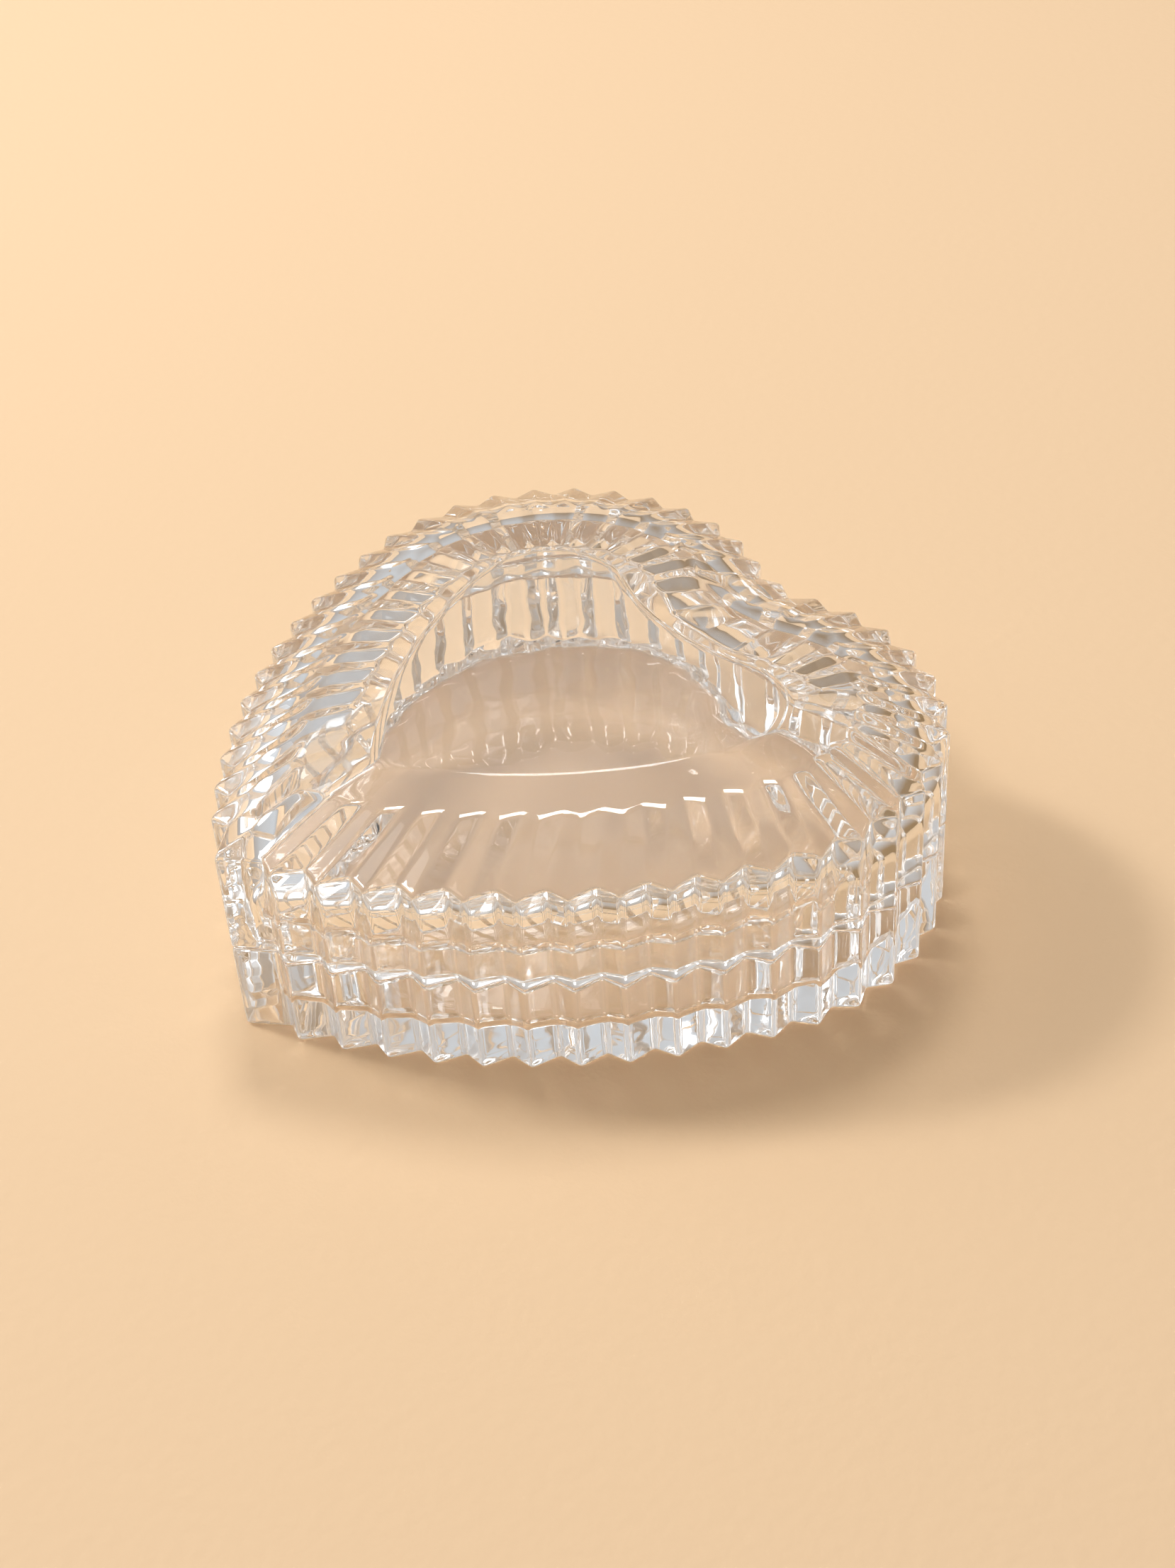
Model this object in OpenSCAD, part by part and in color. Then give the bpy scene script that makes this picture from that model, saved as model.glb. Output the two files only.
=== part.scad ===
// Heart-shaped trinket box of clear pressed glass: a ribbed base and a ribbed lift-off lid.
// The heart's notch points to +Y, its tip to -Y, and the base stands on Z = 0.

/* [Heart outline] */
// Radius of each lobe, measured over the rib crests
lobe_r = 32; // [28:0.5:36]
// Distance between the centres of the two lobes
lobe_spacing = 36; // [32:0.5:40]
// Radius of the notch between the lobes
notch_r = 15; // [10:0.5:20]
// Radius of the long bowed sides
side_r = 94; // [84:1:120]
// Distance from the line of the lobe centres to the tip
tip_reach = 65; // [62:0.5:68]
// Radius that rounds the tip
tip_r = 2.5; // [1.5:0.1:3.5]

/* [Ribs] */
// Ribs on each half of the heart, from the crest at the tip to the crest in the notch
half_ribs = 24; // [18:1:28]
// Extra width on each side of the blunt rib at the tip
tip_land = 1.9; // [0:0.1:3]
// Depth of the V grooves between the ribs on the walls
rib_depth = 2.1; // [1.2:0.1:2.6]
// Depth to which the grooves fade where they meet the flat top
rib_fade = 0.9; // [0.4:0.1:1.2]

/* [Heights] */
// Height of the whole box with its lid on
box_h = 33; // [31:0.5:36]
// Height of the joint between base and lid
seam_z = 13.6; // [12:0.2:15]
// Height of the edge where the lid's wall turns in to its shoulder
shoulder_z = 28.8; // [27:0.2:30]
// How far the shoulder runs in from the wall to the flat top
shoulder_run = 11; // [9:0.5:12]

/* [Glass thickness and fit] */
// Inset of the lid's inner wall from the rib crests
skirt_inset = 4.2; // [4:0.1:5]
// Sideways gap between the lid's inner wall and the base's locating lip
lip_gap = 0.4; // [0.3:0.05:0.6]
// Thickness of the locating lip
lip_t = 1.8; // [1.6:0.1:2.4]
// Height of the locating lip above the joint
lip_h = 4.2; // [3:0.2:5]
// Thickness of the base's floor
floor_t = 2.8; // [2.4:0.1:4]
// Thickness of the lid's flat top
top_t = 4; // [3.5:0.1:4.5]
// Height at which the lid's inner wall springs into the vault under the shoulder
spring_z = 21.4; // [20:0.2:22.4]
// Inset of the vault's haunch, where its steep side meets its shallow slope
haunch_inset = 9.5; // [8:0.5:10.5]
// Height of the haunch
haunch_z = 25.2; // [24:0.2:25.8]
// Inset of the edge of the lid's flat ceiling from the rib crests
ceiling_inset = 21.5; // [18:0.5:23]

/* [Hidden] */
lobe_x = lobe_spacing / 2;
cavity_inset = skirt_inset + lip_gap + lip_t;
cavity_tip_r = 1.6;
ceiling_z = box_h - top_t;
glass = [0.86, 0.9, 0.92, 0.45];
// Straight steps along the tip, side, lobe and notch arcs of a smooth outline
arc_steps = [3, 12, 18, 4];
lap = 0.01;

// Centre of the side arc on the right half: tangent inside both the lobe and the tip circle.
tip_c = [0, tip_r - tip_reach];
lobe_c = [lobe_x, 0];
span = norm(lobe_c - tip_c);
along = (lobe_c - tip_c) / span;
side_near = side_r - tip_r;
side_far = side_r - lobe_r;
side_x = (side_near ^ 2 - side_far ^ 2 + span ^ 2) / (2 * span);
side_y = sqrt(side_near ^ 2 - side_x ^ 2);
side_c = tip_c + along * side_x + [-along.y, along.x] * side_y;
notch_c = [0, sqrt((lobe_r + notch_r) ^ 2 - lobe_x ^ 2)];

// Angle of the line from one point to another.
function bearing(from, to) = atan2(to.y - from.y, to.x - from.x);

// The right half of the heart, set in by d, as four arcs from the tip to the notch.
// Each arc is [centre, radius, first angle, last angle].
function tip_centre(d, r) = [0, side_c.y - sqrt((side_r - d - r) ^ 2 - side_c.x ^ 2)];
function half_arcs(d, r) =
    let (
        tip = tip_centre(d, r),
        to_side = bearing(side_c, tip),
        to_lobe = bearing(side_c, lobe_c),
        to_notch = bearing(lobe_c, notch_c)
    )
    [
        [tip, r, -90, to_side],
        [side_c, side_r - d, to_side, to_lobe],
        [lobe_c, lobe_r - d, to_lobe, to_notch],
        [notch_c, notch_r + d, to_notch - 180, -90]
    ];

function arc_length(a) = PI / 180 * a[1] * abs(a[3] - a[2]);
function arc_point(a, t) =
    let (angle = a[2] + (a[3] - a[2]) * t) a[0] + a[1] * [cos(angle), sin(angle)];

// Place on the half outline at a given length from the tip, as [arc number, fraction along it].
function station(arcs, s, i = 0) =
    let (len = arc_length(arcs[i]))
    (s <= len || i == 3) ? [i, min(s / len, 1)] : station(arcs, s - len, i + 1);

// The tip's crest is the first station; the others are evenly spaced after the land beside it.
outer_arcs = half_arcs(0, tip_r);
lengths = [for (a = outer_arcs) arc_length(a)];
ribbed_length = lengths[0] + lengths[1] + lengths[2] + lengths[3] - tip_land;
stations = [
    for (i = [0 : 2 * half_ribs])
        station(outer_arcs, i == 0 ? 0 : tip_land + ribbed_length * i / (2 * half_ribs))
];

// A whole outline from its right half: the mirrored half follows without the two shared ends.
function whole(half) =
    let (n = len(half))
    concat(half, [for (i = [n - 2 : -1 : 1]) [-half[i].x, half[i].y]]);

// Ribbed outline set in by d: crests at even stations and grooves between them.
function ribbed(d, r, depth) =
    let (crests = half_arcs(d, r), grooves = half_arcs(d + depth, r))
    whole([
        for (i = [0 : 2 * half_ribs])
            let (s = stations[i]) arc_point((i % 2 == 0 ? crests : grooves)[s[0]], s[1])
    ]);

// Smooth outline set in by d.
function smooth(d, r) =
    let (arcs = half_arcs(d, r))
    whole(concat(
        [
            for (i = [0 : 3]) for (k = [0 : arc_steps[i] - 1])
                arc_point(arcs[i], k / arc_steps[i])
        ],
        [arc_point(arcs[3], 1)]
    ));

wall_line = ribbed(0, tip_r, rib_depth);
wall_ys = [for (p = wall_line) p.y];
mid_y = (min(wall_ys) + max(wall_ys)) / 2;

// Closed skin through a run of outlines with the same number of points. The run starts and
// ends on a flat cap, and may go down one surface of a shell and up the other.
module skin(outlines, heights) {
    n = len(outlines[0]);
    last = len(outlines) - 1;
    points = [for (k = [0 : last]) for (p = outlines[k]) [p.x, p.y, heights[k]]];
    sides = [
        for (k = [0 : last - 1]) for (i = [0 : n - 1])
            let (a = k * n + i, b = k * n + (i + 1) % n) each [[a, a + n, b], [b, a + n, b + n]]
    ];
    bottom = [for (i = [0 : n - 1]) i];
    top = [for (i = [n - 1 : -1 : 0]) last * n + i];
    polyhedron(points, concat(sides, [bottom, top]));
}

module heart_block(outline, z_low, z_high) {
    translate([0, 0, z_low]) linear_extrude(z_high - z_low) polygon(outline);
}

// Base: ribbed wall, thick floor, smooth hollow and a raised lip that locates the lid.
module base() {
    color(glass) translate([0, -mid_y, 0]) difference() {
        union() {
            heart_block(wall_line, 0, seam_z);
            heart_block(smooth(skirt_inset + lip_gap, tip_r), seam_z - lap, seam_z + lip_h);
        }
        heart_block(smooth(cavity_inset, cavity_tip_r), floor_t, seam_z + lip_h + 1);
    }
}

// Lid: from the flat ceiling down the vault and the inner wall, across the joint face, then up
// the ribbed wall and the sloping ribbed shoulder to the flat top.
module lid() {
    ceiling = ribbed(ceiling_inset, cavity_tip_r, 0);
    haunch = ribbed(haunch_inset, cavity_tip_r, 0);
    inner_wall = ribbed(skirt_inset, cavity_tip_r, 0);
    flat_top = ribbed(shoulder_run, tip_r, rib_fade);
    color(glass) translate([0, -mid_y, 0]) skin(
        [ceiling, haunch, inner_wall, inner_wall, wall_line, wall_line, flat_top],
        [ceiling_z, haunch_z, spring_z, seam_z, seam_z, shoulder_z, box_h]
    );
}

base();
lid();
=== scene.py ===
"""Heart-shaped trinket box of clear pressed glass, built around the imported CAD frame."""

from math import atan2, cos, hypot, pi, radians, sin, sqrt

import bmesh
import bpy
from mathutils import Matrix, Vector


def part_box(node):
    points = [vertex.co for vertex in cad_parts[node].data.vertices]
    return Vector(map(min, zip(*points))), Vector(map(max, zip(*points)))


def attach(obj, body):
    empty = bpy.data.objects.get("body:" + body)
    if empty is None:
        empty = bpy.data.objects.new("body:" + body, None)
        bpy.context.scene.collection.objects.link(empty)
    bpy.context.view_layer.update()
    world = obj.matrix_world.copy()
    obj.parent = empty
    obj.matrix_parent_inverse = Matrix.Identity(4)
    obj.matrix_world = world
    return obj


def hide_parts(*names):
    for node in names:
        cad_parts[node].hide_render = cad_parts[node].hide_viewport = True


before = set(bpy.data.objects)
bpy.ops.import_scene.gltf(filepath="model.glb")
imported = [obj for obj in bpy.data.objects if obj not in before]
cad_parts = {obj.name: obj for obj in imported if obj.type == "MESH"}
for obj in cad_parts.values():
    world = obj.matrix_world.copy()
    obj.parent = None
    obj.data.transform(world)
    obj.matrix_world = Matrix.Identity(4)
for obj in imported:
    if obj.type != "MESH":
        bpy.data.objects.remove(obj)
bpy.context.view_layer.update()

BASE_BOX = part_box("base")
LID_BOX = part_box("lid")

bl_info = {
    "name": "Heart trinket box",
    "version": (1, 0, 0),
    "blender": (4, 5, 0),
    "location": "3D View > Sidebar > Heart box",
    "description": "Builds a ribbed glass heart box with a lift-off lid, and its stage",
    "category": "Add Mesh",
}


def length(name, description, default, **limits):
    """A size in metres."""
    return bpy.props.FloatProperty(
        name=name, description=description, default=default, unit="LENGTH", precision=4, **limits
    )


def colour(name, description, default):
    """A scene-linear colour."""
    return bpy.props.FloatVectorProperty(
        name=name, description=description, default=default, subtype="COLOR", size=3, min=0, max=1
    )


class HeartBoxSizes(bpy.types.PropertyGroup):
    """Sizes of the two pressings, the same as the CAD's."""

    lobe_radius: length("Lobe radius", "Radius of each lobe over the rib crests", 0.032)
    lobe_spacing: length("Lobe spacing", "Distance between the lobes' centres", 0.036)
    notch_radius: length("Notch radius", "Radius of the notch between the lobes", 0.015)
    side_radius: length("Side radius", "Radius of the long bowed sides", 0.094)
    tip_reach: length("Tip reach", "From the lobe centres' line to the tip", 0.065)
    tip_radius: length("Tip radius", "Radius that rounds the tip", 0.0025)
    half_ribs: bpy.props.IntProperty(
        name="Ribs on each half", description="Counted from the tip to the notch", default=24, min=8
    )
    tip_land: length("Tip land", "Extra width on each side of the rib at the tip", 0.0019)
    rib_depth: length("Rib depth", "Depth of the V grooves on the walls", 0.0021)
    rib_fade: length("Rib fade", "Depth of the grooves where they reach the top", 0.0009)
    shoulder_height: length("Shoulder height", "Where the wall turns in to the shoulder", 0.0288)
    shoulder_run: length("Shoulder run", "How far the shoulder runs in to the flat top", 0.011)
    skirt_inset: length("Skirt inset", "From the crests to the lid's inner wall", 0.0042)
    lip_gap: length("Lip gap", "Between the lid's inner wall and the lip", 0.0004)
    lip_thickness: length("Lip thickness", "Thickness of the locating lip", 0.0018)
    floor_thickness: length("Floor thickness", "Thickness of the base's floor", 0.0028)
    top_thickness: length("Top thickness", "Thickness of the lid's flat top", 0.004)
    spring_height: length("Spring height", "Where the lid's vault springs from its wall", 0.0214)
    haunch_inset: length("Haunch inset", "From the crests to the vault's haunch", 0.0095)
    haunch_height: length("Haunch height", "Where the vault turns shallow", 0.0252)
    ceiling_inset: length("Ceiling inset", "From the crests to the flat ceiling's edge", 0.0215)
    crest_round: length("Crest rounding", "Width of the rounding on each rib edge", 0.0004)
    joint_round: length("Joint rounding", "Rounding of the outer edges at the joint", 0.0006)
    foot_round: length("Foot rounding", "Rounding where the wall meets the underside", 0.0007)
    shoulder_round: length("Shoulder rounding", "Rounding of the edge round the lid's wall", 0.0006)
    top_round: length("Top rounding", "Rounding of the edge round the flat top", 0.0010)
    lip_round: length("Lip rounding", "Rounding along the locating lip", 0.0007)
    floor_round: length("Floor rounding", "Fillet between the hollow's floor and wall", 0.003)
    ceiling_round: length("Ceiling rounding", "Fillet round the flat ceiling", 0.0009)
    haunch_round: length("Haunch rounding", "Fillet along the vault's haunch", 0.003)
    spring_round: length("Spring rounding", "Fillet where the vault springs", 0.0028)


class HeartBoxGlass(bpy.types.PropertyGroup):
    """Look of the pressed glass."""

    tint: colour("Tint", "Faint colour of the glass", (0.985, 0.985, 0.98))
    ior: bpy.props.FloatProperty(
        name="Refractive index", description="Index of the pressed glass", default=1.58, min=1.0
    )
    waviness: bpy.props.FloatProperty(
        name="Waviness", description="Strength of the mould's waves", default=0.35, min=0, max=1
    )


class HeartBoxStage(bpy.types.PropertyGroup):
    """Floor, lights and camera."""

    floor_colour: colour("Floor", "Colour of the paper floor", (0.74, 0.525, 0.325))
    azimuth: bpy.props.FloatProperty(
        name="Azimuth", description="Turn of the view, 0 looks along +Y",
        default=radians(55.74), subtype="ANGLE",
    )
    elevation: bpy.props.FloatProperty(
        name="Elevation", description="Angle of the view above the floor",
        default=radians(38.19), subtype="ANGLE",
    )
    roll: bpy.props.FloatProperty(
        name="Roll", description="Tilt of the view", default=radians(-4.1), subtype="ANGLE"
    )
    distance: length("Distance", "From the camera to the point it looks at", 0.3247)
    lens: bpy.props.FloatProperty(
        name="Lens", description="Focal length in millimetres", default=54.06,
        subtype="DISTANCE_CAMERA",
    )


# ---------------------------------------------------------------------------------------------
# Outline of the heart

# Radius of the smooth hollow's tip
HOLLOW_TIP = 0.0016
# Points of a smooth outline to each crest or groove, as many as a ribbed corner has
SPLITS = 5


def bearing(start, end):
    return atan2(end[1] - start[1], end[0] - start[0])


class HeartLine:
    """The right half of the heart as four arcs from the tip to the notch, at any inset."""

    def __init__(self, sizes):
        self.sizes = sizes
        self.lobe = (sizes.lobe_spacing / 2, 0.0)
        tip = (0.0, sizes.tip_radius - sizes.tip_reach)
        span = hypot(self.lobe[0] - tip[0], self.lobe[1] - tip[1])
        along = ((self.lobe[0] - tip[0]) / span, (self.lobe[1] - tip[1]) / span)
        near = sizes.side_radius - sizes.tip_radius
        far = sizes.side_radius - sizes.lobe_radius
        forward = (near**2 - far**2 + span**2) / (2 * span)
        aside = sqrt(near**2 - forward**2)
        self.side = (
            tip[0] + along[0] * forward - along[1] * aside,
            tip[1] + along[1] * forward + along[0] * aside,
        )
        reach = sizes.lobe_radius + sizes.notch_radius
        self.notch = (0.0, sqrt(reach**2 - self.lobe[0] ** 2))
        self.lengths = [
            radius * abs(end - start)
            for _, radius, start, end in self.arcs(0.0, sizes.tip_radius)
        ]
        count = 2 * sizes.half_ribs
        step = (sum(self.lengths) - sizes.tip_land) / count
        self.stations = [0.0] + [sizes.tip_land + step * number for number in range(1, count + 1)]
        heights = [point.y for point in self.corners(0.0, sizes.rib_depth)]
        self.middle = (min(heights) + max(heights)) / 2

    def arcs(self, inset, tip_radius):
        """Four arcs, each as its centre, radius, first angle and last angle."""
        sizes = self.sizes
        drop = sqrt((sizes.side_radius - inset - tip_radius) ** 2 - self.side[0] ** 2)
        tip = (0.0, self.side[1] - drop)
        to_side = bearing(self.side, tip)
        to_lobe = bearing(self.side, self.lobe)
        to_notch = bearing(self.lobe, self.notch)
        return (
            (tip, tip_radius, -pi / 2, to_side),
            (self.side, sizes.side_radius - inset, to_side, to_lobe),
            (self.lobe, sizes.lobe_radius - inset, to_lobe, to_notch),
            (self.notch, sizes.notch_radius + inset, to_notch - pi, -pi / 2),
        )

    def point(self, arcs, way):
        """The point on the given arcs that lies a given way along the outermost outline."""
        number = 0
        while number < 3 and way > self.lengths[number]:
            way -= self.lengths[number]
            number += 1
        centre, radius, start, end = arcs[number]
        angle = start + (end - start) * min(way / self.lengths[number], 1.0)
        return Vector((centre[0] + radius * cos(angle), centre[1] + radius * sin(angle)))

    def corners(self, inset, depth):
        """Crests and grooves in turn, round the whole heart and anticlockwise from the tip."""
        crests = self.arcs(inset, self.sizes.tip_radius)
        grooves = self.arcs(inset + depth, self.sizes.tip_radius)
        return whole([
            self.point(grooves if number % 2 else crests, way)
            for number, way in enumerate(self.stations)
        ])

    def ribbed(self, inset, depth):
        """Flat facets between slightly rounded crests and grooves."""
        corners = self.corners(inset, depth)
        cut = self.sizes.crest_round
        outline = []
        for before, corner, after in zip(
            corners[-1:] + corners[:-1], corners, corners[1:] + corners[:1]
        ):
            back = (before - corner).normalized() * cut
            on = (after - corner).normalized() * cut
            middle = (back + on) / 4
            outline += [corner + step for step in (2 * back, back, middle, on, 2 * on)]
        return outline[2:] + outline[:2]

    def smooth(self, inset):
        """A round outline with as many points as a ribbed one."""
        arcs = self.arcs(inset, HOLLOW_TIP)
        ways = [
            low + (high - low) * number / SPLITS
            for low, high in zip(self.stations, self.stations[1:])
            for number in range(SPLITS)
        ]
        return whole([self.point(arcs, way) for way in ways + self.stations[-1:]])


def whole(half):
    """The whole outline, anticlockwise from the tip, from its right half."""
    return half + [Vector((-point.x, point.y)) for point in half[-2:0:-1]]


# ---------------------------------------------------------------------------------------------
# Mesh work

# Spacing of the rings while they are bridged, before each is moved to its own height
STACK_GAP = 0.01
# Straight steps round each rounded corner of a profile
ROUND_STEPS = 6
# Width of the flat run between a cap's edge and the flat cap itself
CAP_RUN = 0.005
# Rounding of the inner fold where the locating lip meets the joint
FOLD_ROUND = 0.0002
# Air left on each side of the joint, so that two faces of clear glass never share a plane
JOINT_AIR = 0.00004


def rounded(profile, cuts):
    """Rounds each inner corner of a run of (inset, groove depth, height) points."""
    run = [profile[0]]
    for before, corner, after, cut in zip(profile, profile[1:], profile[2:], cuts):
        start = corner + (before - corner).normalized() * cut
        end = corner + (after - corner).normalized() * cut
        for number in range(ROUND_STEPS + 1):
            part = number / ROUND_STEPS
            run.append(
                start * (1 - part) ** 2 + corner * 2 * part * (1 - part) + end * part**2
            )
    return run + [profile[-1]]


def ring(bm, line, inset, depth):
    """A closed loop of edges along the heart: smooth, or ribbed where the grooves have depth."""
    outline = line.ribbed(inset, depth) if depth > 0 else line.smooth(inset)
    verts = [bm.verts.new((point.x, point.y - line.middle, 0)) for point in outline]
    edges = [bm.edges.new(pair) for pair in zip(verts, verts[1:] + verts[:1])]
    return verts, edges


def pressing(line, profile, cuts):
    """A closed glass body whose surface follows a profile right round the heart."""
    bm = bmesh.new()
    run = rounded([Vector(point) for point in profile], cuts)
    rings = [ring(bm, line, inset, depth) for inset, depth, _ in run]
    for number, (verts, _) in enumerate(rings):
        for vert in verts:
            vert.co.z = number * STACK_GAP
    for (_, low), (_, high) in zip(rings, rings[1:]):
        bmesh.ops.bridge_loops(bm, edges=low + high)
    for verts, _ in (rings[0], rings[-1]):
        bmesh.ops.contextual_create(bm, geom=verts)
    for (verts, _), (_, _, height) in zip(rings, run):
        for vert in verts:
            vert.co.z = height
    return bm


def add_piece(name, bm, material):
    """Makes an object from the mesh, at the origin and unturned."""
    bmesh.ops.recalc_face_normals(bm, faces=bm.faces)
    if bm.calc_volume(signed=True) < 0:
        bmesh.ops.reverse_faces(bm, faces=bm.faces)
    for face in bm.faces:
        face.smooth = True
    mesh = bpy.data.meshes.new(name)
    bm.to_mesh(mesh)
    bm.free()
    mesh.materials.append(material)
    piece = bpy.data.objects.new(name, mesh)
    bpy.context.collection.objects.link(piece)
    return piece


def base_mesh(sizes, line):
    """From the hollow's floor up to the lip, over it to the joint, and down the ribbed wall."""
    seam = LID_BOX[0].z - JOINT_AIR
    lip_top = BASE_BOX[1].z
    lip = sizes.skirt_inset + sizes.lip_gap
    hollow = lip + sizes.lip_thickness
    profile = [
        (hollow + CAP_RUN, 0, sizes.floor_thickness),
        (hollow, 0, sizes.floor_thickness),
        (hollow, 0, lip_top),
        (lip, 0, lip_top),
        (lip, 0, seam),
        (0, sizes.rib_depth, seam),
        (0, sizes.rib_depth, 0),
        (CAP_RUN, sizes.rib_depth, 0),
    ]
    cuts = [
        sizes.floor_round, sizes.lip_round, sizes.lip_round, FOLD_ROUND,
        sizes.joint_round, sizes.foot_round,
    ]
    return pressing(line, profile, cuts)


def lid_mesh(sizes, line):
    """From the ceiling down the vault to the joint, and up the ribs to the flat top."""
    seam = LID_BOX[0].z + JOINT_AIR
    top = LID_BOX[1].z
    ceiling = top - sizes.top_thickness
    profile = [
        (sizes.ceiling_inset + CAP_RUN, 0, ceiling),
        (sizes.ceiling_inset, 0, ceiling),
        (sizes.haunch_inset, 0, sizes.haunch_height),
        (sizes.skirt_inset, 0, sizes.spring_height),
        (sizes.skirt_inset, 0, seam),
        (0, sizes.rib_depth, seam),
        (0, sizes.rib_depth, sizes.shoulder_height),
        (sizes.shoulder_run, sizes.rib_fade, top),
        (sizes.shoulder_run + CAP_RUN, 0, top),
    ]
    cuts = [
        sizes.ceiling_round, sizes.haunch_round, sizes.spring_round, sizes.lip_round,
        sizes.joint_round, sizes.shoulder_round, sizes.top_round,
    ]
    return pressing(line, profile, cuts)


# ---------------------------------------------------------------------------------------------
# Materials

# Size of the mould's waves and of the patches of uneven polish, in cycles per metre
WAVE_SCALE = 90.0
WAVE_DETAIL = 1.5
WAVE_DEPTH = 0.0004
POLISH_SCALE = 240.0
POLISH_DETAIL = 4.0
# Range of the noise that dulls the polish, and the dullest it gets
POLISH_NOISE = (0.45, 0.8)
DULLEST = 0.07
PAPER_ROUGHNESS = 0.85
PAPER_SHEEN = 0.2
GRAIN_SCALE = 500.0
GRAIN_DETAIL = 5.0
GRAIN_STRENGTH = 0.25
GRAIN_DEPTH = 0.0003


def new_material(name):
    material = bpy.data.materials.new(name)
    material.use_nodes = True
    nodes = material.node_tree.nodes
    return material, nodes, material.node_tree.links, nodes["Principled BSDF"]


def noise(nodes, links, place, scale, detail):
    """Noise that is fixed to the object."""
    texture = nodes.new("ShaderNodeTexNoise")
    texture.inputs["Scale"].default_value = scale
    texture.inputs["Detail"].default_value = detail
    links.new(place.outputs["Object"], texture.inputs["Vector"])
    return texture


def raise_bumps(nodes, links, shader, texture, strength, depth):
    """Bumps of the given strength and depth that follow a texture."""
    bump = nodes.new("ShaderNodeBump")
    bump.inputs["Strength"].default_value = strength
    bump.inputs["Distance"].default_value = depth
    links.new(texture.outputs["Fac"], bump.inputs["Height"])
    links.new(bump.outputs["Normal"], shader.inputs["Normal"])


def pressed_glass(look, name):
    """Clear pressed glass with the mould's faint waves and a slightly uneven polish."""
    material, nodes, links, shader = new_material(name)
    shader.inputs["Base Color"].default_value = (*look.tint, 1)
    shader.inputs["IOR"].default_value = look.ior
    shader.inputs["Transmission Weight"].default_value = 1.0
    place = nodes.new("ShaderNodeTexCoord")
    waves = noise(nodes, links, place, WAVE_SCALE, WAVE_DETAIL)
    raise_bumps(nodes, links, shader, waves, look.waviness, WAVE_DEPTH)
    polish = noise(nodes, links, place, POLISH_SCALE, POLISH_DETAIL)
    spread = nodes.new("ShaderNodeMapRange")
    spread.inputs["From Min"].default_value = POLISH_NOISE[0]
    spread.inputs["From Max"].default_value = POLISH_NOISE[1]
    spread.inputs["To Min"].default_value = 0.0
    spread.inputs["To Max"].default_value = DULLEST
    links.new(polish.outputs["Fac"], spread.inputs["Value"])
    links.new(spread.outputs["Result"], shader.inputs["Roughness"])
    return material


def paper(look):
    """Pale matt paper with a faint grain."""
    material, nodes, links, shader = new_material("pale_paper")
    shader.inputs["Roughness"].default_value = PAPER_ROUGHNESS
    shader.inputs["Base Color"].default_value = (*look.floor_colour, 1)
    shader.inputs["Specular IOR Level"].default_value = PAPER_SHEEN
    place = nodes.new("ShaderNodeTexCoord")
    grain = noise(nodes, links, place, GRAIN_SCALE, GRAIN_DETAIL)
    raise_bumps(nodes, links, shader, grain, GRAIN_STRENGTH, GRAIN_DEPTH)
    return material


# ---------------------------------------------------------------------------------------------
# Stage


# Light crosses many faces of ribbed glass before it reaches the paper
GLASS_BOUNCES = 40
FLOOR_HALF_WIDTH = 2.5
# Drop of the floor below the underside, so that the two never share a plane
FLOOR_DROP = 0.0001
# Direction in which the room is brightest, and its colours away from it and towards it
ROOM_BRIGHTEST = (-0.42, -0.08, 0.9)
ROOM_DIM = (0.3, 0.19, 0.09)
ROOM_BRIGHT = (0.66, 0.7, 0.74)
ROOM_RANGE = (0.1, 0.9)
LIGHT_AIM = (0, 0, 0.01)
# Each square light's place, width, power and colour
LIGHTS = {
    "window": ((-0.87, -0.49, 0.7), 0.8, 3.4, (0.96, 0.98, 1.0)),
    "lamp": ((-0.87, -0.49, 0.95), 0.2, 8, (0.96, 0.98, 1.0)),
    "skylight": ((-0.42, 0.28, 1.05), 0.28, 4.6, (0.96, 0.98, 1.0)),
}
SENSOR_WIDTH = 36
CLIP_START = 0.01
CLIP_END = 20
CAMERA_AIM = (0.00426, 0.00597, 0.015)


def add_floor(look):
    bm = bmesh.new()
    bmesh.ops.create_grid(bm, x_segments=1, y_segments=1, size=FLOOR_HALF_WIDTH)
    bmesh.ops.translate(bm, vec=(0, 0, -FLOOR_DROP), verts=bm.verts)
    floor = add_piece("paper_floor", bm, paper(look))


def add_area_light(name, place, width, power, tint):
    """A square light that faces the box."""
    data = bpy.data.lights.new(name, "AREA")
    data.shape = "RECTANGLE"
    data.size = data.size_y = width
    data.energy = power
    data.color = tint
    light = bpy.data.objects.new(name, data)
    light.location = place
    light.rotation_euler = (Vector(LIGHT_AIM) - Vector(place)).to_track_quat("-Z", "Y").to_euler()
    bpy.context.collection.objects.link(light)


def add_world():
    """A room that is white and bright in one direction, and warm and dim away from it."""
    world = bpy.data.worlds.new("studio")
    world.use_nodes = True
    nodes, links = world.node_tree.nodes, world.node_tree.links
    background = nodes["Background"]
    place = nodes.new("ShaderNodeTexCoord")
    facing = nodes.new("ShaderNodeVectorMath")
    facing.operation = "DOT_PRODUCT"
    facing.inputs[1].default_value = Vector(ROOM_BRIGHTEST).normalized()
    glow = nodes.new("ShaderNodeValToRGB")
    low, high = glow.color_ramp.elements
    low.position, high.position = ROOM_RANGE
    low.color = (*ROOM_DIM, 1)
    high.color = (*ROOM_BRIGHT, 1)
    links.new(place.outputs["Generated"], facing.inputs[0])
    links.new(facing.outputs["Value"], glow.inputs["Fac"])
    links.new(glow.outputs["Color"], background.inputs["Color"])
    bpy.context.scene.world = world


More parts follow.
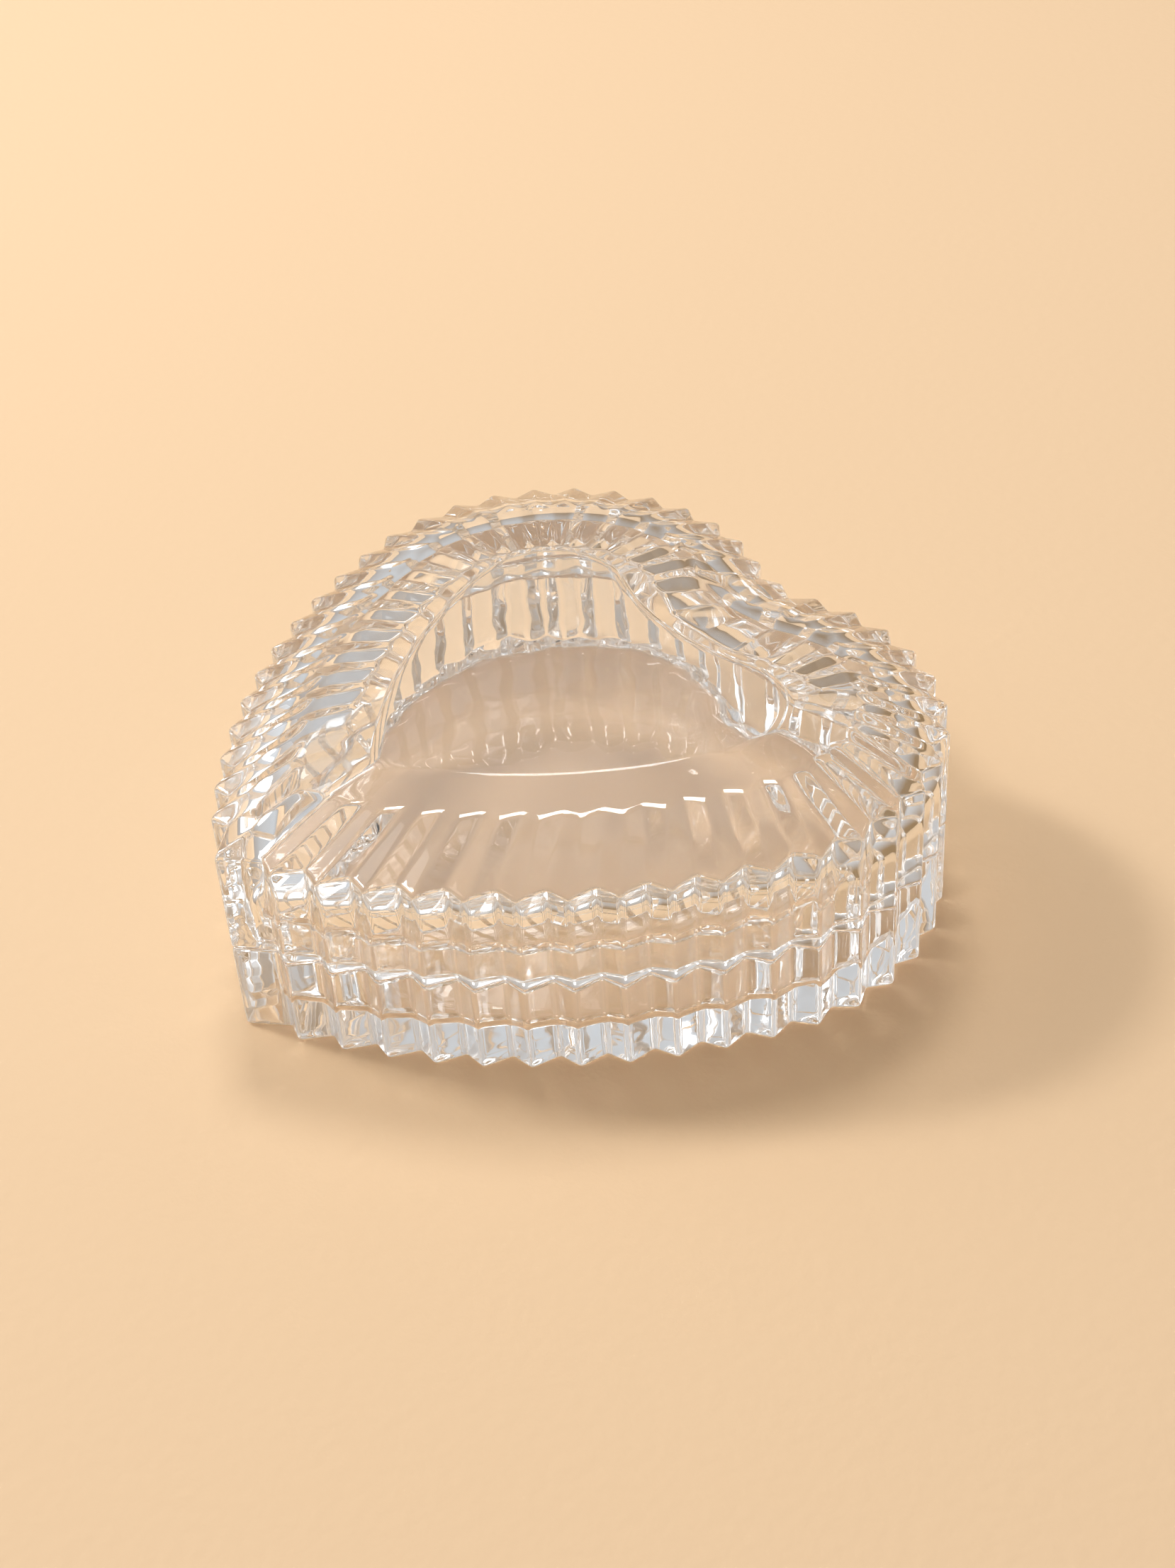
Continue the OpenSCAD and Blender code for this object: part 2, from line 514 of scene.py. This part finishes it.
def add_camera(look):
    data = bpy.data.cameras.new("camera")
    data.lens = look.lens
    data.sensor_width = SENSOR_WIDTH
    data.clip_start = CLIP_START
    data.clip_end = CLIP_END
    camera = bpy.data.objects.new("camera", data)
    forward = Vector((
        -sin(look.azimuth) * cos(look.elevation),
        cos(look.azimuth) * cos(look.elevation),
        -sin(look.elevation),
    ))
    right = Vector((cos(look.azimuth), sin(look.azimuth), 0))
    up = right.cross(forward)
    turned_right = right * cos(look.roll) + up * sin(look.roll)
    turned_up = up * cos(look.roll) - right * sin(look.roll)
    place = Vector(CAMERA_AIM) - forward * look.distance
    turn = Matrix((turned_right, turned_up, -forward)).transposed().to_4x4()
    camera.matrix_world = Matrix.Translation(place) @ turn
    bpy.context.collection.objects.link(camera)
    bpy.context.scene.camera = camera


# ---------------------------------------------------------------------------------------------
# Operators and panel


class HEARTBOX_OT_base(bpy.types.Operator):
    """Builds the ribbed glass base with its locating lip"""

    bl_idname = "heartbox.base"
    bl_label = "Glass base"

    def execute(self, context):
        sizes = context.scene.heartbox_sizes
        glass = pressed_glass(context.scene.heartbox_glass, "base_glass")
        piece = add_piece("glass_base", base_mesh(sizes, HeartLine(sizes)), glass)
        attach(piece, "base")
        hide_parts("base")
        return {"FINISHED"}


class HEARTBOX_OT_lid(bpy.types.Operator):
    """Builds the ribbed glass lid with its flat top"""

    bl_idname = "heartbox.lid"
    bl_label = "Glass lid"

    def execute(self, context):
        sizes = context.scene.heartbox_sizes
        glass = pressed_glass(context.scene.heartbox_glass, "lid_glass")
        piece = add_piece("glass_lid", lid_mesh(sizes, HeartLine(sizes)), glass)
        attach(piece, "lid")
        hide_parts("lid")
        return {"FINISHED"}


class HEARTBOX_OT_stage(bpy.types.Operator):
    """Builds the floor, the lights and the camera"""

    bl_idname = "heartbox.stage"
    bl_label = "Stage"

    def execute(self, context):
        look = context.scene.heartbox_stage
        add_floor(look)
        add_world()
        for name, light in LIGHTS.items():
            add_area_light(name, *light)
        add_camera(look)
        scene = context.scene
        scene.view_settings.view_transform = "Standard"
        scene.cycles.max_bounces = GLASS_BOUNCES
        scene.cycles.transmission_bounces = GLASS_BOUNCES
        scene.cycles.glossy_bounces = GLASS_BOUNCES
        scene.cycles.blur_glossy = 0.0
        return {"FINISHED"}


class HEARTBOX_PT_panel(bpy.types.Panel):
    bl_label = "Heart trinket box"
    bl_idname = "HEARTBOX_PT_panel"
    bl_space_type = "VIEW_3D"
    bl_region_type = "UI"
    bl_category = "Heart box"

    def draw(self, context):
        scene = context.scene
        for group in (scene.heartbox_sizes, scene.heartbox_glass, scene.heartbox_stage):
            column = self.layout.column()
            for name in group.__annotations__:
                column.prop(group, name)
        for operator in OPERATORS:
            self.layout.operator(operator.bl_idname)


GROUPS = {
    "heartbox_sizes": HeartBoxSizes,
    "heartbox_glass": HeartBoxGlass,
    "heartbox_stage": HeartBoxStage,
}
OPERATORS = (HEARTBOX_OT_base, HEARTBOX_OT_lid, HEARTBOX_OT_stage)


def register():
    for name, group in GROUPS.items():
        bpy.utils.register_class(group)
        setattr(bpy.types.Scene, name, bpy.props.PointerProperty(type=group))
    for item in (*OPERATORS, HEARTBOX_PT_panel):
        bpy.utils.register_class(item)


def unregister():
    for item in (HEARTBOX_PT_panel, *reversed(OPERATORS)):
        bpy.utils.unregister_class(item)
    for name, group in reversed(GROUPS.items()):
        delattr(bpy.types.Scene, name)
        bpy.utils.unregister_class(group)


def main():
    register()
    bpy.ops.heartbox.base()
    bpy.ops.heartbox.lid()
    bpy.ops.heartbox.stage()


if __name__ == "__main__":
    main()
